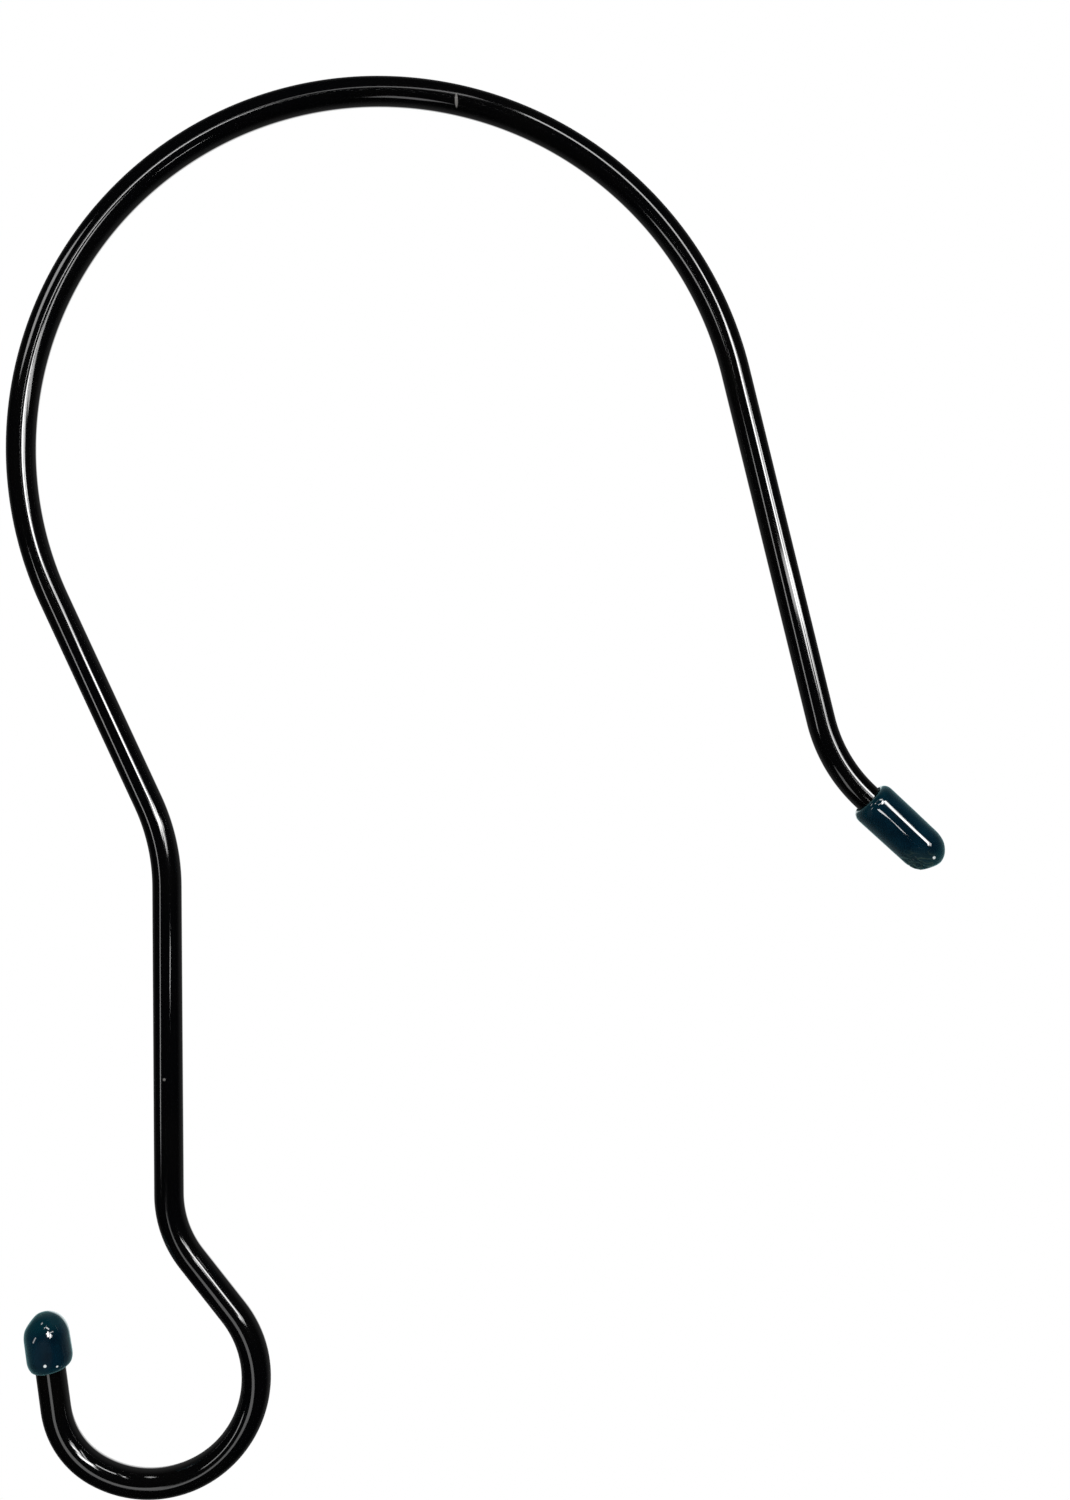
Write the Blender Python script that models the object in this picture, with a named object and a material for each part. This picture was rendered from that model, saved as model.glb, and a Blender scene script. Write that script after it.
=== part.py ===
# Tree branch hook: one rod, bent to a schedule in one plane, with a soft cap pushed onto each end.
# Metres, +Z up. The hook lies in the XZ plane, and the origin is at the inside top of the arch,
# where the branch carries it. The load hangs in the bowl at the foot of the shank.

import bpy
import bmesh
from math import acos, ceil, cos, pi, radians, sin
from mathutils import Matrix, Vector

# Rod stock
rod_diameter = 0.00635
rod_end_chamfer = 0.0004

# Bends of the rod: radius of its centreline, and how far it turns
arch_right_radius = 0.0806
arch_right_turn = radians(76.25)
arch_left_radius = 0.0783
arch_left_turn = radians(114.9)
flare_radius = 0.0336
flare_turn = radians(32.8)
neck_radius = 0.0446
crank_radius = 0.0231
crank_turn = radians(37.8)
bowl_radius = 0.0233
bowl_turn = radians(158.7)
curl_radius = 0.0182

# Straight runs between the bends, and how far the shank and the tip lean from plumb
right_leg_length = 0.0786
left_leg_length = 0.0489
shank_length = 0.0674
shank_lean = radians(0.35)
crank_length = 0.0149
tip_lean = radians(7.6)

# Straight rod that shows between the last bend and each cap
branch_end_bare_length = 0.0013
hanger_end_bare_length = 0.0083

# Caps: both fit the same rod, the branch end has the long one and the load end the short one
cap_clearance = 0.0003
cap_wall = 0.00158
cap_lip_length = 0.0018
cap_mouth_chamfer = 0.0002
cap_corner_wall = 0.0006
branch_cap_length = 0.0208
branch_cap_draft = 0.00025
branch_nose_length = 0.0047
branch_nose_power = 2.0
hanger_cap_length = 0.0132
hanger_cap_draft = 0.00005
hanger_nose_length = 0.0055
hanger_nose_power = 1.8

# Facets
chord_tolerance = 0.00004
rod_sides = 24
cap_sides = 28
lip_steps = 5
nose_steps = 9
weld_distance = 0.000001

# Sizes that follow from the ones above
rod_radius = rod_diameter / 2
cap_bore_radius = rod_radius + cap_clearance
cap_mouth_radius = cap_bore_radius + cap_wall
leg_heading = pi + arch_left_turn
shank_heading = 3 * pi / 2 + shank_lean
neck_turn = leg_heading - shank_heading
tip_heading = pi / 2 + tip_lean
curl_turn = shank_heading + crank_turn - bowl_turn - tip_heading


def clear_scene():
    for item in list(bpy.data.objects):
        bpy.data.objects.remove(item, do_unlink=True)


def finish_material(name, colour, roughness, coat):
    material = bpy.data.materials.new(name)
    material.use_nodes = True
    shader = material.node_tree.nodes["Principled BSDF"]
    shader.inputs["Base Color"].default_value = (*colour, 1.0)
    shader.inputs["Roughness"].default_value = roughness
    shader.inputs["Metallic"].default_value = 0.0
    shader.inputs["Coat Weight"].default_value = coat
    return material


def add_object(name, mesh_data, material):
    mesh = bpy.data.meshes.new(name)
    bmesh.ops.recalc_face_normals(mesh_data, faces=mesh_data.faces)
    mesh_data.to_mesh(mesh)
    mesh_data.free()
    mesh.shade_smooth()
    mesh.set_sharp_from_angle(angle=radians(35))
    mesh.materials.append(material)
    item = bpy.data.objects.new(name, mesh)
    bpy.context.scene.collection.objects.link(item)
    return item


# A heading is an angle in the XZ plane, anticlockwise from +X, and turns are counted the same way.
def along(heading):
    return Vector((cos(heading), 0, sin(heading)))


def ring_edges(made):
    return [piece for piece in made if isinstance(piece, bmesh.types.BMEdge)]


def ring_verts(made):
    return [piece for piece in made if isinstance(piece, bmesh.types.BMVert)]


def feed(mesh_data, ring, place, heading, length):
    """Push the rod straight on by its length, and say where it ends."""
    made = bmesh.ops.extrude_edge_only(mesh_data, edges=ring)["geom"]
    step = along(heading) * length
    bmesh.ops.translate(mesh_data, verts=ring_verts(made), vec=step)
    return ring_edges(made), place + step


def bend(mesh_data, ring, place, heading, radius, turn):
    """Wrap the rod round a former of that radius, and say where and which way it leaves."""
    side = 1 if turn > 0 else -1
    centre = place + along(heading + side * pi / 2) * radius
    facet_turn = 2 * acos(1 - chord_tolerance / (radius + rod_radius))
    made = bmesh.ops.spin(
        mesh_data,
        geom=ring,
        cent=centre,
        axis=(0, -1, 0),
        angle=turn,
        steps=ceil(abs(turn) / facet_turn),
    )["geom_last"]
    end = centre + Matrix.Rotation(turn, 3, (0, -1, 0)) @ (place - centre)
    return ring_edges(made), end, heading + turn


def follow(mesh_data, ring, heading, schedule):
    """Feed and bend the rod from the crown to one end, and close it with a chamfered face."""
    place = Vector((0, 0, rod_radius))
    for radius, turn, length in schedule:
        ring, place, heading = bend(mesh_data, ring, place, heading, radius, turn)
        if length > 0:
            ring, place = feed(mesh_data, ring, place, heading, length)
    ring, place = feed(mesh_data, ring, place, heading, rod_end_chamfer)
    rim = list({vert for edge in ring for vert in edge.verts})
    shrink = Matrix.Scale((rod_radius - rod_end_chamfer) / rod_radius, 4)
    bmesh.ops.transform(mesh_data, verts=rim, matrix=shrink, space=Matrix.Translation(-place))
    bmesh.ops.contextual_create(mesh_data, geom=ring)
    return place, heading


def nose_radius(share, radius, power):
    """Radius of a cap's nose at a share of its length, from its root at 0 to its tip at 1."""
    return radius * (1 - share ** power) ** (1 / power)


def cap_sizes(length, draft, nose_length, power):
    """The nose's root radius, and the bore's depth that leaves the corner wall round its end."""
    root_radius = cap_mouth_radius - draft
    corner = (cap_bore_radius + cap_corner_wall) / root_radius
    corner_share = (1 - corner ** power) ** (1 / power)
    return root_radius, length - nose_length * (1 - corner_share)


def cap_profile(length, draft, nose_length, power):
    """Half section of a cap, from its tip over the lip and down the bore, mouth at height zero."""
    root_radius, depth = cap_sizes(length, draft, nose_length, power)
    root_height = length - nose_length
    points = []
    for step in range(nose_steps + 1):
        share = cos(step / nose_steps * pi / 2)
        points.append((nose_radius(share, root_radius, power), root_height + nose_length * share))
    lip_reach = cap_wall - cap_mouth_chamfer
    for step in range(lip_steps + 1):
        angle = step / lip_steps * pi / 2
        reach = cap_mouth_radius - lip_reach * (1 - cos(angle))
        points.append((reach, cap_lip_length * (1 - sin(angle))))
    points.append((cap_bore_radius, cap_mouth_chamfer))
    points.append((cap_bore_radius, depth))
    points.append((0, depth))
    return points


def turned_cap(name, material, place, heading, profile):
    """Turn the half section about the cap's axis, and seat the cap with its mouth at the place."""
    mesh_data = bmesh.new()
    verts = [mesh_data.verts.new((reach, 0, height)) for reach, height in profile]
    edges = [mesh_data.edges.new(pair) for pair in zip(verts, verts[1:])]
    bmesh.ops.spin(
        mesh_data,
        geom=verts + edges,
        cent=(0, 0, 0),
        axis=(0, 0, 1),
        angle=2 * pi,
        steps=cap_sides,
    )
    bmesh.ops.remove_doubles(mesh_data, verts=mesh_data.verts, dist=weld_distance)
    cap = add_object(name, mesh_data, material)
    cap.location = place
    cap.rotation_euler = (0, pi / 2 - heading, 0)
    return cap


def build():
    clear_scene()
    black_coat = finish_material("gloss_black_coat", (0.004, 0.004, 0.005), 0.12, 1.0)
    teal_vinyl = finish_material("dark_teal_vinyl", (0.002, 0.012, 0.019), 0.22, 0.5)

    branch_cap = (branch_cap_length, branch_cap_draft, branch_nose_length, branch_nose_power)
    hanger_cap = (hanger_cap_length, hanger_cap_draft, hanger_nose_length, hanger_nose_power)
    branch_depth = cap_sizes(*branch_cap)[1] - cap_clearance
    hanger_depth = cap_sizes(*hanger_cap)[1] - cap_clearance
    branch_straight = branch_end_bare_length + branch_depth - rod_end_chamfer
    hanger_straight = hanger_end_bare_length + hanger_depth - rod_end_chamfer

    to_branch_end = [
        (arch_right_radius, -arch_right_turn, right_leg_length),
        (flare_radius, flare_turn, branch_straight),
    ]
    to_hanger_end = [
        (arch_left_radius, arch_left_turn, left_leg_length),
        (neck_radius, -neck_turn, shank_length),
        (crank_radius, crank_turn, crank_length),
        (bowl_radius, -bowl_turn, 0),
        (curl_radius, -curl_turn, hanger_straight),
    ]
    crown = Matrix.Translation((0, 0, rod_radius)) @ Matrix.Rotation(pi / 2, 4, "Y")
    rod_mesh = bmesh.new()
    bmesh.ops.create_circle(rod_mesh, segments=rod_sides, radius=rod_radius, matrix=crown)
    first_ring = list(rod_mesh.edges)
    branch_end, branch_heading = follow(rod_mesh, first_ring, 0, to_branch_end)
    hanger_end, hanger_heading = follow(rod_mesh, first_ring, pi, to_hanger_end)
    add_object("hook_rod", rod_mesh, black_coat)

    branch_mouth = branch_end - along(branch_heading) * branch_depth
    hanger_mouth = hanger_end - along(hanger_heading) * hanger_depth
    turned_cap("branch_end_cap", teal_vinyl, branch_mouth, branch_heading, cap_profile(*branch_cap))
    turned_cap("hanger_end_cap", teal_vinyl, hanger_mouth, hanger_heading, cap_profile(*hanger_cap))


build()
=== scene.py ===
# Looks of a tree branch hook: one gloss black rod, bent in one plane, with a soft teal cap on each end.
# Metres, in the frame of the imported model: the hook lies in the XZ plane and the camera looks along +Y.
from math import ceil, cos, exp, pi, radians, sin

import bmesh
import bpy
from mathutils import Matrix, Vector, noise


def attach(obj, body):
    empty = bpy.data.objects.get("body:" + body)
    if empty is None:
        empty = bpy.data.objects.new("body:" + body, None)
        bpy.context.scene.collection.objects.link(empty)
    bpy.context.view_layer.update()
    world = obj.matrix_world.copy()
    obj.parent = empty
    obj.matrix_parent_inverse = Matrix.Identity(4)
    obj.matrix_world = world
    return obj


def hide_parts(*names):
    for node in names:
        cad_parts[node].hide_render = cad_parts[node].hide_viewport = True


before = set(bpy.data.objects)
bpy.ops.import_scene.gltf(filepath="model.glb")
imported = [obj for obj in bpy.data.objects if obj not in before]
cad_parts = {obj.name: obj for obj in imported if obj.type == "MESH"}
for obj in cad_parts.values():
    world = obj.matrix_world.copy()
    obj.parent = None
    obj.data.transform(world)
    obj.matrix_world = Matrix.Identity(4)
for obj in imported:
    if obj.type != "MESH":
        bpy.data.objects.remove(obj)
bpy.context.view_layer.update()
print("frame loaded")


# One socket of a node tree. Sums on it add Math nodes, and node() adds any other kind.
class Wire:
    def __init__(self, tree, socket=None):
        self.tree = tree
        self.socket = socket

    def node(self, kind, settings=None, inputs=None, output=0):
        made = self.tree.nodes.new(kind)
        for name, value in (settings or {}).items():
            setattr(made, name, value)
        for name, value in (inputs or {}).items():
            if isinstance(value, Wire):
                self.tree.links.new(value.socket, made.inputs[name])
            else:
                made.inputs[name].default_value = value
        return Wire(self.tree, made.outputs[output] if made.outputs else None)

    def other(self, output):
        # another output of the same node
        return Wire(self.tree, self.socket.node.outputs[output])

    def math(self, operation, *values):
        return self.node("ShaderNodeMath", {"operation": operation}, dict(enumerate(values)))

    def __add__(self, other):
        return self.math("ADD", self, other)

    def __radd__(self, other):
        return self.math("ADD", other, self)

    def __sub__(self, other):
        return self.math("SUBTRACT", self, other)

    def __rsub__(self, other):
        return self.math("SUBTRACT", other, self)

    def __mul__(self, other):
        return self.math("MULTIPLY", self, other)

    def __rmul__(self, other):
        return self.math("MULTIPLY", other, self)

    def __truediv__(self, other):
        return self.math("DIVIDE", self, other)

    def __rtruediv__(self, other):
        return self.math("DIVIDE", other, self)


def largest(first, second):
    return first.math("MAXIMUM", first, second)


def smooth(value, low, high):
    # 0 below low, 1 above high, with soft ends
    settings = {"interpolation_type": "SMOOTHSTEP", "clamp": True}
    inputs = {"Value": value, "From Min": low, "From Max": high}
    return value.node("ShaderNodeMapRange", settings, inputs)


def mixColour(share, first, second):
    # the colours are the node's sockets 6 and 7, and its colour output is 2
    inputs = {0: share}
    inputs[6] = first if isinstance(first, Wire) else (*first, 1.0)
    inputs[7] = second if isinstance(second, Wire) else (*second, 1.0)
    return share.node("ShaderNodeMix", {"data_type": "RGBA"}, inputs, output=2)


def noiseOn(place, size, detail=2.0, rough=0.5):
    # soft noise with features about that size, in metres
    inputs = {"Vector": place, "Scale": 1 / size, "Detail": detail, "Roughness": rough}
    return place.node("ShaderNodeTexNoise", {}, inputs)


def measure(operation, place, other):
    settings = {"operation": operation}
    return place.node("ShaderNodeVectorMath", settings, {0: place, 1: other}, output="Value")


def distanceTo(place, point):
    return measure("DISTANCE", place, point)


def dotWith(place, way):
    return measure("DOT_PRODUCT", place, way)


spotCore = 0.55   # the share of a spot's reach where it is at full strength


def spotAt(place, middle, reach):
    # 1 in the middle of an egg-shaped spot, 0 past its reach, which is given along x, y and z
    scale = tuple(1 / length for length in reach)
    shift = tuple(-way / length for way, length in zip(middle, reach))
    stretched = place.node("ShaderNodeMapping", {}, {"Vector": place, "Location": shift, "Scale": scale})
    return 1 - smooth(distanceTo(stretched, (0, 0, 0)), spotCore, 1.0)


def bumpFrom(height, depth):
    return height.node("ShaderNodeBump", {}, {"Strength": 1.0, "Distance": depth, "Height": height})


def startFinish(name):
    finish = bpy.data.materials.new(name)
    finish.use_nodes = True
    tree = finish.node_tree
    place = Wire(tree).node("ShaderNodeTexCoord", output="Object")
    return finish, tree.nodes["Principled BSDF"], place


def feedShader(shader, values):
    for name, value in values.items():
        if isinstance(value, Wire):
            value.tree.links.new(value.socket, shader.inputs[name])
        else:
            shader.inputs[name].default_value = value


def addPiece(name, mesh, finish, node):
    piece = bpy.data.objects.new(name, mesh)
    bpy.context.scene.collection.objects.link(piece)
    if finish.name not in mesh.materials:
        mesh.materials.clear()
        mesh.materials.append(finish)
    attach(piece, "root")
    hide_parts(node)
    return piece


def along(heading):
    # a heading is an angle in the XZ plane, anticlockwise from +X
    return Vector((cos(heading), 0, sin(heading)))


camera = {
    "frameHeight": 0.32879,   # of the picture, at the hook
    "distance": 0.30,
    "middle": (0.03433, -0.14110),
    "sensor": 36.0,
    "clipStart": 0.01,
}

lens = bpy.data.cameras.new("viewCamera")
lens.sensor_width = camera["sensor"]
lens.lens = camera["sensor"] * camera["distance"] / camera["frameHeight"]
lens.clip_start = camera["clipStart"]
viewCamera = bpy.data.objects.new("viewCamera", lens)
bpy.context.scene.collection.objects.link(viewCamera)
viewCamera.location = (camera["middle"][0], -camera["distance"], camera["middle"][1])
viewCamera.rotation_euler = (pi / 2, 0, 0)
bpy.context.scene.camera = viewCamera
bpy.context.scene.view_settings.view_transform = "Standard"


surroundings = {
    "fill": 0.50,             # soft light from all sides, stronger from above
    "overhead": 0.35,
    "dark": 0.001,            # what the gloss coat mirrors between the lamps
    "card": 1.2,              # brightness of the card behind the hook
    "cardEdge": radians(24),  # seen from the hook: where it starts to fade
    "cardFull": radians(7),
    "glow": 0.075,            # wide and faint, round the card
    "glowEdge": radians(94),
    "glowFull": radians(30),
}


def makeSurroundings():
    world = bpy.data.worlds.new("studio")
    bpy.context.scene.world = world
    world.use_nodes = True
    world.node_tree.nodes.clear()
    isCamera = Wire(world.node_tree).node("ShaderNodeLightPath", output="Is Camera Ray")
    isMirror = largest(isCamera.other("Is Glossy Ray"), isCamera.other("Is Transmission Ray"))
    skyward = isCamera.node("ShaderNodeTexCoord", output="Generated")
    behind = dotWith(skyward, (0, 1, 0))
    card = smooth(behind, cos(surroundings["cardEdge"]), cos(surroundings["cardFull"]))
    glow = smooth(behind, cos(surroundings["glowEdge"]), cos(surroundings["glowFull"]))
    mirrored = card * surroundings["card"] + glow * surroundings["glow"] + surroundings["dark"]
    soft = dotWith(skyward, (0, 0, 1)) * surroundings["overhead"] + surroundings["fill"]
    unseen = (1 - isMirror) * soft + isMirror * mirrored
    level = isCamera + (1 - isCamera) * unseen
    background = level.node("ShaderNodeBackground", {}, {"Color": (1, 1, 1, 1), "Strength": level})
    level.node("ShaderNodeOutputWorld", {}, {"Surface": background})


makeSurroundings()

# A black rod shows little but what it mirrors, so each lamp stands where a line or a glint needs it.
# Degrees off the camera's axis and round it (0 right, 90 up), distance, roll, width, height, strength.
lamps = {
    "keyBroad": (29, 40, 1.1, 85, 0.5, 0.14, 6.0),
    "keyFar": (39, 20, 2.5, 70, 0.8, 0.2, 6.0),
    "keyWide": (38, 27, 2.5, 145, 1.2, 0.5, 3.4),
    "keyUpper": (28, 37, 1.25, 120, 0.4, 0.17, 6.5),
    "topPanel": (43, 73, 0.47, 150, 0.18, 0.065, 4.2),
    "sideStrip": (30, 28, 0.37, 10, 0.33, 0.03, 3.5),
    "topStrip": (35.5, 120, 0.25, 95, 0.03, 0.014, 6.0),
    "leftPanel": (45, 190, 2.5, 55, 1.1, 0.2, 2.2),
    "upperLeft": (68, 140, 0.25, 20, 0.04, 0.06, 2.3),
    "lowPanel": (50, 243, 0.3, 85, 0.09, 0.065, 0.85),
    "crownStrip": (41, 105, 0.32, 70, 0.17, 0.01, 1.5),
    "capStrip": (26.5, 312, 0.27, 35, 0.04, 0.012, 5.0),
}
lampAim = Vector((camera["middle"][0], 0, camera["middle"][1]))


def addLamp(name, off, around, distance, roll, width, height, strength):
    off = radians(off)
    around = radians(around)
    away = Vector((sin(off) * cos(around), -cos(off), sin(off) * sin(around)))
    across = (-away).cross(Vector((0, 0, 1))).normalized()
    across.rotate(Matrix.Rotation(-radians(roll), 3, -away))
    turn = Matrix((across, away.cross(across), away)).transposed().to_4x4()
    lamp = bpy.data.lights.new(name, "AREA")
    lamp.shape = "RECTANGLE"
    lamp.size = width
    lamp.size_y = height
    lamp.energy = strength * pi * width * height
    holder = bpy.data.objects.new(name, lamp)
    bpy.context.scene.collection.objects.link(holder)
    holder.matrix_world = Matrix.Translation(lampAim + away * distance) @ turn
    holder.visible_camera = False


for lampName, lampPlan in lamps.items():
    addLamp(lampName, *lampPlan)

floorPlan = {
    "middle": (0.02, 0.0, -0.62),
    "radius": 0.56,
    "sides": 96,
    "fadeStart": 0.24,        # where the floor starts to fade into the white behind it
    "fadeEnd": 0.549,
    "colour": (0.90, 0.90, 0.90),
    "shade": (0.873, 0.873, 0.873),
    "grainSize": 0.12,
    "roughness": 0.9,
    "specular": 0.2,
}


def makeFloor():
    middle = Vector(floorPlan["middle"])
    disc = bmesh.new()
    bmesh.ops.create_circle(
        disc,
        cap_ends=True,
        segments=floorPlan["sides"],
        radius=floorPlan["radius"],
        matrix=Matrix.Translation(middle),
    )
    mesh = bpy.data.meshes.new("floor")
    disc.to_mesh(mesh)
    disc.free()
    floor = bpy.data.objects.new("floor", mesh)
    bpy.context.scene.collection.objects.link(floor)
    paint, shader, place = startFinish("paleFloor")
    grain = noiseOn(place, floorPlan["grainSize"], detail=3.0)
    feedShader(shader, {
        "Base Color": mixColour(grain, floorPlan["colour"], floorPlan["shade"]),
        "Roughness": floorPlan["roughness"],
        "Specular IOR Level": floorPlan["specular"],
    })
    rim = smooth(distanceTo(place, middle), floorPlan["fadeStart"], floorPlan["fadeEnd"])
    gone = largest(rim, place.node("ShaderNodeNewGeometry", output="Backfacing"))
    clear = gone.node("ShaderNodeBsdfTransparent")
    painted = Wire(paint.node_tree, shader.outputs["BSDF"])
    faded = gone.node("ShaderNodeMixShader", {}, {0: gone, 1: painted, 2: clear})
    feedShader(paint.node_tree.nodes["Material Output"], {"Surface": faded})
    mesh.materials.append(paint)
    floor.visible_glossy = False


makeFloor()
print("studio ready")


rod = {
    "radius": 0.003168,
    "crownHeight": 0.003175,  # of the rod's middle over the inside of the arch's top
    "sides": 64,
    "step": 0.0009,           # between the rings
    "chamfer": 0.0004,
    "sharpAngle": radians(35),
    "unevenness": 0.00001,
    "unevenLength": 0.016,
    "seed": 3.0,
    "insideBranchCap": 0.01829,
    "insideHangerCap": 0.00957,
    # from the crown outwards: bend radius, turn in degrees and straight run after it
    "toBranchEnd": [(0.0806, -76.25, 0.0786), (0.0336, 32.8, 0.0013)],
    "toHangerEnd": [
        (0.0783, 114.9, 0.0489),
        (0.0446, -24.55, 0.0674),
        (0.0231, 37.8, 0.0149),
        (0.0233, -158.7, 0),
        (0.0182, -51.85, 0.0090),
    ],
}


def bendPoints(heading, schedule, inside):
    # walks from the crown to where the cap's mouth is, and then on to the rod's end inside the cap
    place = Vector((0, 0, rod["crownHeight"]))
    points = [place.copy()]
    for radius, turn, straight in schedule:
        turn = radians(turn)
        centre = place + along(heading + (pi / 2 if turn > 0 else -pi / 2)) * radius
        steps = ceil(abs(turn) * radius / rod["step"])
        for step in range(1, steps + 1):
            swing = Matrix.Rotation(turn * step / steps, 3, (0, -1, 0))
            points.append(centre + swing @ (place - centre))
        place = points[-1]
        heading += turn
        steps = ceil(straight / rod["step"])
        for step in range(1, steps + 1):
            points.append(place + along(heading) * straight * step / steps)
        place = points[-1]
    mouth = place.copy()
    hidden = ceil(inside / rod["step"])
    for step in range(1, hidden + 1):
        points.append(mouth + along(heading) * (inside - rod["chamfer"]) * step / hidden)
    points.append(mouth + along(heading) * inside)
    return points, mouth, heading


def sweepTree():
    # sweeps a round bar along a line of points, eases its ends and makes it a little uneven
    tree = bpy.data.node_groups.new("bentBar", "GeometryNodeTree")
    sizes = [
        ("Geometry", "NodeSocketGeometry"),
        ("Radius", "NodeSocketFloat"),
        ("Sides", "NodeSocketInt"),
        ("Chamfer", "NodeSocketFloat"),
        ("Sharp angle", "NodeSocketFloat"),
        ("Unevenness", "NodeSocketFloat"),
        ("Uneven length", "NodeSocketFloat"),
        ("Seed", "NodeSocketFloat"),
        ("Finish", "NodeSocketMaterial"),
    ]
    keys = {}
    for label, kind in sizes:
        keys[label] = tree.interface.new_socket(label, in_out="INPUT", socket_type=kind).identifier
    tree.interface.new_socket("Geometry", in_out="OUTPUT", socket_type="NodeSocketGeometry")
    start = Wire(tree).node("NodeGroupInput")
    part = {label: start.other(label) for label in keys}
    path = start.node("GeometryNodeMeshToCurve", {}, {"Mesh": start})
    fromStart = start.node("GeometryNodeSplineParameter", output="Length")
    whole = start.node("GeometryNodeSplineLength")
    fromEnd = fromStart.math("MINIMUM", fromStart, whole - fromStart)
    endShare = 1 - part["Chamfer"] / part["Radius"]
    easing = {"Value": fromEnd, "From Max": part["Chamfer"], "To Min": endShare}
    ease = fromEnd.node("ShaderNodeMapRange", {}, easing)
    ring = {"Resolution": part["Sides"], "Radius": part["Radius"]}
    section = start.node("GeometryNodeCurvePrimitiveCircle", {}, ring)
    sweep = {"Curve": path, "Profile Curve": section, "Scale": ease, "Fill Caps": True}
    bar = path.node("GeometryNodeCurveToMesh", {}, sweep)
    waves = {"W": part["Seed"], "Scale": 1 / part["Uneven length"], "Detail": 1.0}
    swell = start.node("ShaderNodeTexNoise", {"noise_dimensions": "4D"}, waves)
    outward = start.node("GeometryNodeInputNormal")
    depth = (swell - 1) * part["Unevenness"]
    shift = outward.node("ShaderNodeVectorMath", {"operation": "SCALE"}, {0: outward, "Scale": depth})
    bar = bar.node("GeometryNodeSetPosition", {}, {"Geometry": bar, "Offset": shift})
    corner = start.node("GeometryNodeInputMeshEdgeAngle")
    compare = {0: corner, 1: part["Sharp angle"]}
    sharp = corner.node("FunctionNodeCompare", {"operation": "GREATER_THAN"}, compare)
    shading = {"Geometry": bar, "Selection": sharp, "Shade Smooth": False}
    bar = bar.node("GeometryNodeSetShadeSmooth", {"domain": "EDGE"}, shading)
    bar = bar.node("GeometryNodeRealizeInstances", {}, {"Geometry": bar})
    bar = bar.node("GeometryNodeSetMaterial", {}, {"Geometry": bar, "Material": part["Finish"]})
    bar.node("NodeGroupOutput", {}, {"Geometry": bar})
    return tree, keys


rodFinish = {
    "black": (0.0010, 0.0011, 0.0015),
    "warmBlack": (0.0018, 0.0017, 0.0017),
    "cloudSize": 0.022,       # patches of the two blacks
    "cloudEdges": (0.35, 0.7),
    "grainSize": 0.0022,      # fine changes of the gloss
    "scuff": (0.26, 0.25, 0.24),
    # scuffs: middle, reach and strength. Two across the crown, a small one on the shank
    "scuffs": [
        ((0.01725, -0.0029, -0.0001), (0.00040, 0.0017, 0.0018), 0.8),
        ((0.03190, -0.0030, -0.0005), (0.00030, 0.0012, 0.0009), 0.4),
        ((-0.04610, -0.0031, -0.21260), (0.00040, 0.0006, 0.0004), 0.6),
    ],
    "scuffRoughness": 0.25,
    "roughness": 0.08,
    "roughnessSpread": 0.03,
    "coatRoughness": 0.07,
    "coatIor": 1.6,
    "specular": 0.75,
    "peelSize": 0.0011,       # orange peel of the coat
    "peelDepth": 0.0000003,
}


def makeRodFinish():
    finish, shader, place = startFinish("glossBlackCoat")
    cloud = smooth(noiseOn(place, rodFinish["cloudSize"], detail=3.0), *rodFinish["cloudEdges"])
    grain = noiseOn(place, rodFinish["grainSize"], detail=4.0, rough=0.6) - 0.5
    scuffs = rodFinish["scuffs"]
    scuffed = sum(spotAt(place, middle, reach) * strength for middle, reach, strength in scuffs)
    black = mixColour(cloud, rodFinish["black"], rodFinish["warmBlack"])
    roughness = rodFinish["roughness"] + grain * rodFinish["roughnessSpread"]
    feedShader(shader, {
        "Base Color": mixColour(scuffed, black, rodFinish["scuff"]),
        "Roughness": roughness + scuffed * rodFinish["scuffRoughness"],
        "Metallic": 0.0,
        "Coat Weight": 1.0,
        "Coat Roughness": rodFinish["coatRoughness"],
        "Coat IOR": rodFinish["coatIor"],
        "Specular IOR Level": rodFinish["specular"],
        "Normal": bumpFrom(noiseOn(place, rodFinish["peelSize"]), rodFinish["peelDepth"]),
    })
    return finish


def makeRod():
    right, branchMouth, branchHeading = bendPoints(0, rod["toBranchEnd"], rod["insideBranchCap"])
    left, hangerMouth, hangerHeading = bendPoints(pi, rod["toHangerEnd"], rod["insideHangerCap"])
    points = right[::-1] + left[1:]
    line = bpy.data.meshes.new("bendLine")
    line.from_pydata(points, [(n, n + 1) for n in range(len(points) - 1)], [])
    guide = bpy.data.objects.new("bendLine", line)
    bpy.context.scene.collection.objects.link(guide)
    finish = makeRodFinish()
    tree, keys = sweepTree()
    sweep = guide.modifiers.new("bentBar", "NODES")
    sweep.node_group = tree
    given = {
        "Radius": rod["radius"],
        "Sides": rod["sides"],
        "Chamfer": rod["chamfer"],
        "Sharp angle": rod["sharpAngle"],
        "Unevenness": rod["unevenness"],
        "Uneven length": rod["unevenLength"],
        "Seed": rod["seed"],
        "Finish": finish,
    }
    for label, value in given.items():
        sweep[keys[label]] = value
    ready = guide.evaluated_get(bpy.context.evaluated_depsgraph_get())
    mesh = bpy.data.meshes.new_from_object(ready)
    mesh.name = "bentRod"
    guide.modifiers.clear()
    bpy.data.objects.remove(guide)
    piece = addPiece("bentRod", mesh, finish, "hook_rod")
    return piece, (branchMouth, branchHeading), (hangerMouth, hangerHeading)


bentRod, branchEnd, hangerEnd = makeRod()
print("rod made:", len(bentRod.data.polygons), "faces")


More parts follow.
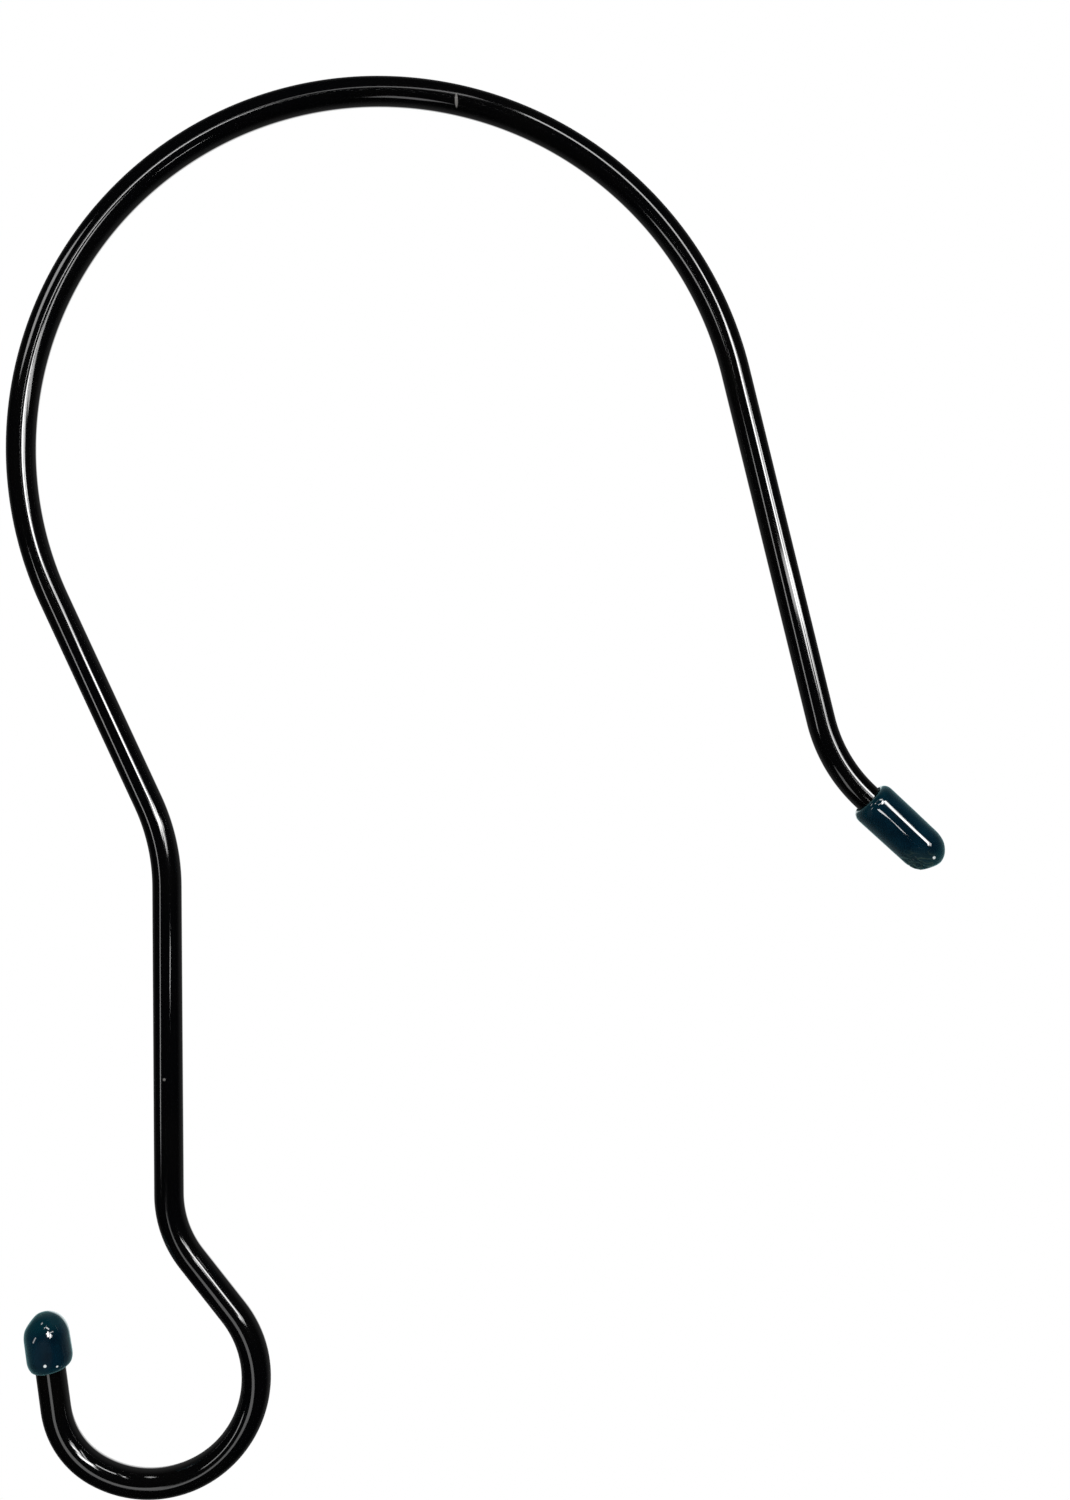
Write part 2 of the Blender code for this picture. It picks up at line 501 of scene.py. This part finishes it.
# Sizes in metres. Ways round a cap: "left" of its heading, "front" towards the camera, "tip" along it.
branchCap = {
    "node": "branch_end_cap",
    "slot": "branch_cap_vinyl",
    "length": 0.0208,
    "mouthRadius": 0.00505,
    "draft": 0.00012,
    "lipLength": 0.0019,
    "noseLength": 0.0062,
    "nosePower": 2.25,
    "boreDepth": 0.01859,
    "lumpDepth": 0.00007,
    "lumpSize": 0.0055,
    "wrinkleDepth": 0.00040,
    "wrinkleSize": 0.0013,
    "wrinkleAt": (-0.0032, 0.0024, 0.0172),
    "wrinkleReach": 0.0052,
    "wrinkleWay": (0.69, 0.0, 0.72),   # the folds run this way
    # flattened places: way (left, front, tip), how far out each lies from the mouth's middle, softness
    "flats": [((-0.467, 0.10, 0.884), 0.01857, 0.0007), ((0.6877, 0.0, 0.726), 0.01640, 0.0003)],
    "shift": 0.00004,
    "lean": 0.013,
    # places rubbed dull, and painted highlights: place (left, front, tip) from the mouth's middle, reach
    # along the frame's x, y and z, and strength. The painted highlights are white spots for glints.
    "rubbed": [((-0.0025, 0.0040, 0.0013), (0.0007, 0.0014, 0.0014), 1.0)],
    "paintedGlints": [((0.0, 0.0038, 0.0181), (0.00045, 0.00135, 0.00045), 0.9)],
    "seed": 4.0,
}
hangerCap = {
    "node": "hanger_end_cap",
    "slot": "hanger_cap_vinyl",
    "length": 0.0122,
    "mouthRadius": 0.00484,
    "draft": 0.00005,
    "lipLength": 0.0026,
    "noseLength": 0.0055,
    "nosePower": 2.05,
    "boreDepth": 0.00987,
    "lumpDepth": 0.00010,
    "lumpSize": 0.0060,
    "wrinkleDepth": 0.0,               # its tip is worn, but not folded
    "wrinkleSize": 0.0012,
    "wrinkleAt": (0.0, 0.0, 0.0125),
    "wrinkleReach": 0.002,
    "wrinkleWay": (0.69, 0.0, 0.72),
    "flats": [((0.70, 0.1, 0.70), 0.0098, 0.0006)],
    "shift": -0.00018,
    "lean": 0.010,
    "rubbed": [
        ((-0.0005, 0.0047, 0.0041), (0.0026, 0.0052, 0.0052), 1.0),
        ((-0.0034, 0.0018, 0.0122), (0.0017, 0.0034, 0.0034), 1.0),
    ],
    # painted highlights: white spots for glints on the lip
    "paintedGlints": [
        ((-0.0008, 0.0048, 0.0023), (0.0004, 0.0012, 0.0004), 1.0),
        ((-0.0030, 0.0037, 0.0015), (0.00025, 0.00075, 0.00025), 1.0),
    ],
    "seed": 9.0,
}
capShape = {
    "boreRadius": 0.003475,
    "mouthChamfer": 0.0002,
    "wall": 0.00158,
    "sides": 128,
    "noseSteps": 36,
    "wallSteps": 44,
    "lipSteps": 28,
    "sharpAngle": radians(50),
    "foldStretch": 0.65,      # how much of their length along their way the folds lose: 0 none, 1 all
    "foldSharpness": 4,
}


def capRows(cap):
    # half section from the tip over the lip and down the bore: radius, height, and how lumpy it may be
    root = cap["mouthRadius"] - cap["draft"]
    rootHeight = cap["length"] - cap["noseLength"]
    rows = []
    for step in range(1, capShape["noseSteps"] + 1):
        share = cos(step / capShape["noseSteps"] * pi / 2)
        radius = root * (1 - share ** cap["nosePower"]) ** (1 / cap["nosePower"])
        rows.append((radius, rootHeight + cap["noseLength"] * share, 1.0))
    for step in range(1, capShape["wallSteps"]):
        share = step / capShape["wallSteps"]
        height = rootHeight + (cap["lipLength"] - rootHeight) * share
        rows.append((root + cap["draft"] * share, height, 1.0))
    for step in range(capShape["lipSteps"] + 1):
        angle = step / capShape["lipSteps"] * pi / 2
        reach = (capShape["wall"] - capShape["mouthChamfer"]) * (1 - cos(angle))
        rows.append((cap["mouthRadius"] - reach, cap["lipLength"] * (1 - sin(angle)), cos(angle) ** 2))
    rows.append((capShape["boreRadius"], capShape["mouthChamfer"], 0.0))
    rows.append((capShape["boreRadius"], cap["boreDepth"], 0.0))
    return rows


def softLimit(value, limit, softness):
    # holds the value under the limit, with a rounded shoulder
    if value < limit - softness:
        return value
    over = (value - limit + softness) / softness
    return limit - softness + softness * (1 - exp(-over))


def capPoint(cap, radius, height, angle, lumpy):
    # place in the cap's own ways, in metres: left, front, tip
    spot = Vector((radius * cos(angle), radius * sin(angle), height))
    if lumpy <= 0:
        return spot
    seed = Vector((cap["seed"], 0, 0))
    outward = Vector((cos(angle), sin(angle), 0))
    if height > cap["length"] - cap["noseLength"]:
        outward.z = (height - cap["length"] + cap["noseLength"]) / cap["noseLength"]
        outward.normalize()
    lumps = noise.noise(spot / cap["lumpSize"] + seed) / 2 + 1 / 2
    sink = cap["lumpDepth"] * lumps
    gap = (spot - Vector(cap["wrinkleAt"])).length / cap["wrinkleReach"]
    if gap < 1 and cap["wrinkleDepth"] > 0:
        way = Vector(cap["wrinkleWay"])
        drawn = spot - way * spot.dot(way) * capShape["foldStretch"]
        fold = abs(noise.noise(drawn / cap["wrinkleSize"] + seed * 2)) * capShape["foldSharpness"]
        sink += cap["wrinkleDepth"] * (1 - gap * gap) ** 2 * (1 - min(fold, 1))
    spot -= outward * sink * lumpy
    spot.x += (cap["shift"] + cap["lean"] * height) * min(lumpy * 2, 1)
    for way, reach, softness in cap["flats"]:
        way = Vector(way).normalized()
        out = spot.dot(way)
        spot += way * (softLimit(out, reach, softness) - out)
    return spot


vinyl = {
    "body": (0.0008, 0.0140, 0.0275),
    "deep": (0.0004, 0.0078, 0.0165),
    "cloudSize": 0.004,       # patches of the two
    "cloudEdges": (0.3, 0.7),
    "thick": (0.0010, 0.0210, 0.0310),
    "noseThick": (0.0042, 0.0018),     # how far from the tip the thick vinyl starts and is full
    "lipThick": (0.0004, 0.0024),      # how far from the mouth it is full and ends
    "lipStrength": 0.5,
    # pale grey-green of worn vinyl; along the folds it is a painted highlight on their ridges
    "wornPaleAndFoldGlint": (0.0280, 0.0500, 0.0430),
    "wornCore": 0.45,         # the share of the worn place's reach where it is at full strength
    "foldSize": 0.0010,
    "foldWidth": 0.10,
    "foldGlintShare": 0.75,         # how much of the worn patch's paleness lies in the folds, where it is painted highlight on their ridges
    "roughness": 0.05,
    "grainSize": 0.0006,
    "grainRoughness": 0.05,
    "wornRoughness": 0.12,
    "rubbedRoughness": 0.35,
    "wornCoat": 0.85,         # how much of the gloss the worn place has lost
    "coatRoughness": 0.04,
    "coatIor": 2.1,
    "specular": 0.12,
    "sheen": 0.54,
    "sheenRoughness": 0.355,
    "sheenTint": (0.40, 0.95, 1.00),
    # white of the painted highlights
    "glintWhite": (0.80, 0.86, 0.86),
    "dimpleSize": 0.0018,
    "dimples": 0.15,          # heights of the dimples and the folds, in bump depths
    "folds": 1.5,
    "bumpDepth": 0.000012,
}


def makeVinyl(name, cap, mouth, left, front, axis):
    def fromMouth(way):
        return mouth + left * way[0] + front * way[1] + axis * way[2]

    def spots(kind):
        return sum(spotAt(place, fromMouth(way), reach) * strength for way, reach, strength in cap[kind])

    finish, shader, place = startFinish(name)
    height = dotWith(place, axis) - mouth.dot(axis)
    cloud = smooth(noiseOn(place, vinyl["cloudSize"]), *vinyl["cloudEdges"])
    grain = noiseOn(place, vinyl["grainSize"], detail=3.0, rough=0.6)
    noseStart, noseFull = vinyl["noseThick"]
    nose = smooth(height, cap["length"] - noseStart, cap["length"] - noseFull)
    lip = 1 - smooth(height, *vinyl["lipThick"])
    thick = largest(nose, lip * vinyl["lipStrength"])
    fromWorn = distanceTo(place, fromMouth(cap["wrinkleAt"]))
    worn = 1 - smooth(fromWorn, cap["wrinkleReach"] * vinyl["wornCore"], cap["wrinkleReach"])
    run = left * cap["wrinkleWay"][0] + axis * cap["wrinkleWay"][2]
    stretch = {0: dotWith(place, run), 1: run * -capShape["foldStretch"], 2: place}
    drawn = place.node("ShaderNodeVectorMath", {"operation": "MULTIPLY_ADD"}, stretch)
    crossing = noiseOn(drawn, vinyl["foldSize"], detail=0.0) - 0.5
    folds = 1 - smooth(crossing.math("ABSOLUTE", crossing), 0.0, vinyl["foldWidth"])
    # real wear paling the patch evenly, plus painted highlights along the fold ridges
    wearAndFoldGlint = worn * (folds * vinyl["foldGlintShare"] + (1 - vinyl["foldGlintShare"]))
    rubbed = spots("rubbed")
    colour = mixColour(cloud, vinyl["deep"], vinyl["body"])
    colour = mixColour(thick, colour, vinyl["thick"])
    # worn vinyl, with painted highlights on the folds
    colour = mixColour(wearAndFoldGlint, colour, vinyl["wornPaleAndFoldGlint"])
    # painted highlights: white spots standing in for glints on the lip and nose
    colour = mixColour(spots("paintedGlints"), colour, vinyl["glintWhite"])
    roughness = vinyl["roughness"] + grain * vinyl["grainRoughness"] + worn * vinyl["wornRoughness"]
    relief = noiseOn(place, vinyl["dimpleSize"]) * vinyl["dimples"] + folds * worn * vinyl["folds"]
    feedShader(shader, {
        "Base Color": colour,
        "Roughness": roughness + rubbed * vinyl["rubbedRoughness"],
        "Coat Weight": 1 - largest(rubbed, worn * vinyl["wornCoat"]),
        "Coat Roughness": vinyl["coatRoughness"],
        "Coat IOR": vinyl["coatIor"],
        "Specular IOR Level": vinyl["specular"],
        "Sheen Weight": vinyl["sheen"],
        "Sheen Roughness": vinyl["sheenRoughness"],
        "Sheen Tint": (*vinyl["sheenTint"], 1.0),
        "Normal": bumpFrom(relief, vinyl["bumpDepth"]),
    })
    return finish


def makeCap(name, finishName, cap, mouth, heading):
    axis = along(heading)
    left = along(heading + pi / 2)
    front = Vector((0, -1, 0))
    mesh = bmesh.new()

    def put(spot):
        return mesh.verts.new(mouth + left * spot.x + front * spot.y + axis * spot.z)

    sides = capShape["sides"]
    turns = [2 * pi * side / sides for side in range(sides)]
    tip = put(capPoint(cap, 0, cap["length"], 0, 1.0))
    rings = []
    for radius, height, lumpy in capRows(cap):
        rings.append([put(capPoint(cap, radius, height, turn, lumpy)) for turn in turns])
    boreEnd = put(Vector((0, 0, cap["boreDepth"])))
    for side in range(sides):
        after = (side + 1) % sides
        mesh.faces.new((tip, rings[0][side], rings[0][after]))
        for ring, below in zip(rings, rings[1:]):
            mesh.faces.new((ring[side], below[side], below[after], ring[after]))
        mesh.faces.new((rings[-1][side], boreEnd, rings[-1][after]))
    bmesh.ops.recalc_face_normals(mesh, faces=mesh.faces)
    data = bpy.data.meshes.new(name)
    mesh.to_mesh(data)
    mesh.free()
    data.shade_smooth()
    data.set_sharp_from_angle(angle=capShape["sharpAngle"])
    finish = makeVinyl(finishName, cap, mouth, left, front, axis)
    return addPiece(name, data, finish, cap["node"])


makeCap("branchCap", "branchVinyl", branchCap, *branchEnd)
makeCap("hangerCap", "hangerVinyl", hangerCap, *hangerEnd)
print("caps made")
